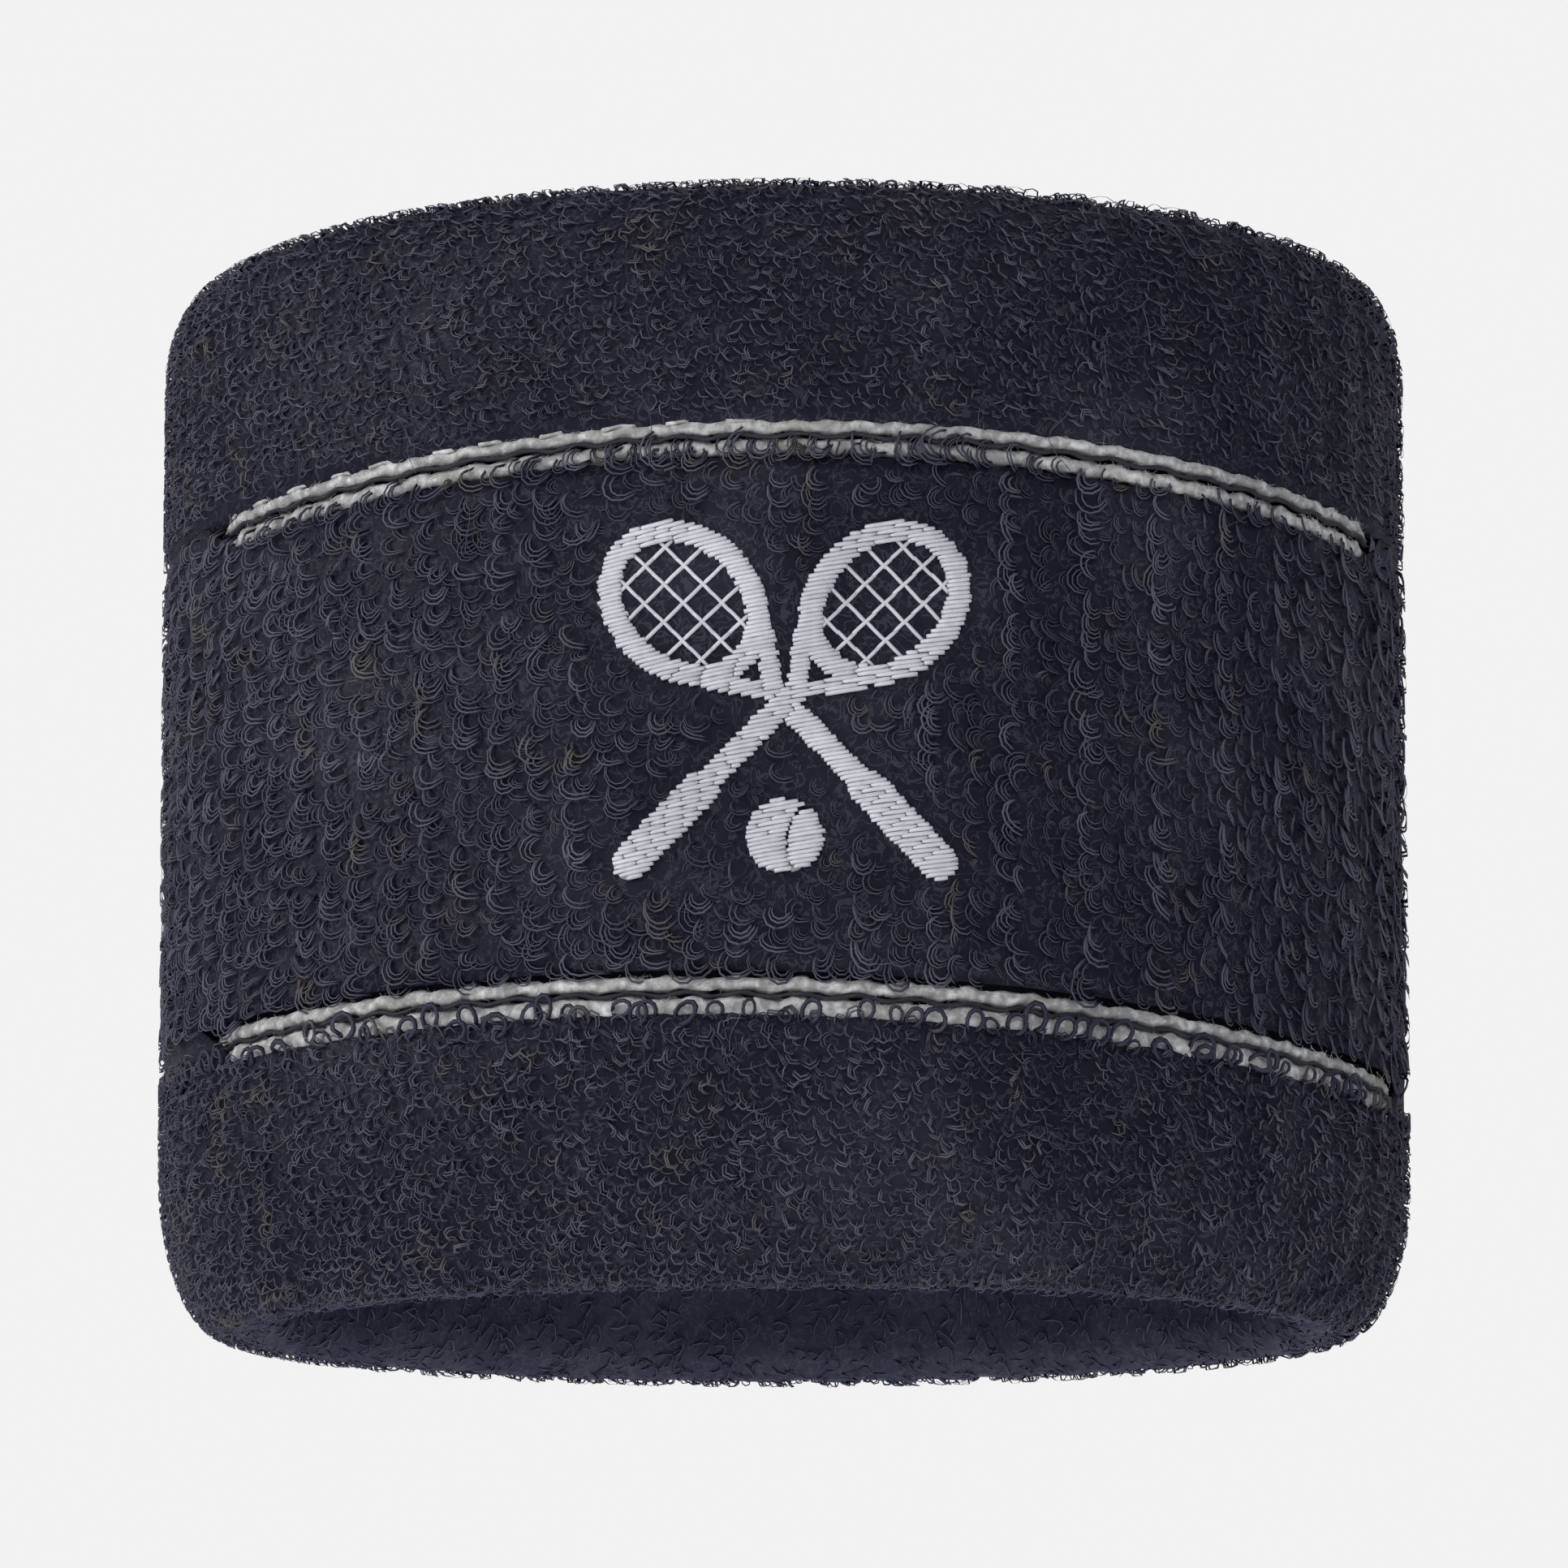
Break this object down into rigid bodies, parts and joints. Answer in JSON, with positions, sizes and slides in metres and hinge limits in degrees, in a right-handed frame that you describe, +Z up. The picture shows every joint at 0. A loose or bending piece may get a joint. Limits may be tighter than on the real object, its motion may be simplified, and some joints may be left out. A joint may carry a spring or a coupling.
{
  "type": "sweat wristband",
  "caption": "Dark terry-knit sweat wristband: a double-walled elastic sleeve with grey stripes in knitted channels and an embroidered crossed-racket motif.",
  "frame": {"origin": "centre of the oval of the lower rim, on the plane that the band stands on", "axes": "+Z up along the wrist opening, -Y out of the embroidered front, +X to the right seen from the front"},
  "size_m": [0.084, 0.067, 0.071],
  "materials": {
    "pile_yarn": "matt looped terry",
    "lining_pile_yarn": "matt looped terry, shorter loops",
    "ground_yarn": "matt jersey knit",
    "seam_thread": "spun thread",
    "elastic_yarn": "covered elastic",
    "stripe_yarn": "spun yarn, slightly fuzzy",
    "divider_yarn": "spun yarn",
    "embroidery_thread": "satin sheen",
    "underlay_thread": "satin sheen",
    "bobbin_thread": "spun thread",
    "stabiliser": "non-woven"
  },
  "bodies": {
    "root": {"upper_terry_pile": "pile_yarn", "middle_terry_pile": "pile_yarn", "lower_terry_pile": "pile_yarn", "upper_lining_pile": "lining_pile_yarn", "lower_lining_pile": "lining_pile_yarn", "ground_knit": "ground_yarn", "closing_seam_thread": "seam_thread", "outer_elastic_yarn": "elastic_yarn", "lining_elastic_yarn": "elastic_yarn", "upper_channel_broken_course": "stripe_yarn", "upper_channel_upper_stripe": "stripe_yarn", "upper_channel_divider": "divider_yarn", "upper_channel_lower_stripe": "stripe_yarn", "lower_channel_upper_stripe": "stripe_yarn", "lower_channel_divider": "divider_yarn", "lower_channel_lower_stripe": "stripe_yarn", "left_racket_stitching": "embroidery_thread", "right_racket_stitching": "embroidery_thread", "ball_stitching": "embroidery_thread", "racket_string_stitching": "embroidery_thread", "embroidery_underlay": "underlay_thread", "embroidery_bobbin_thread": "bobbin_thread", "embroidery_stabiliser": "stabiliser"}
  },
  "joints": []
}
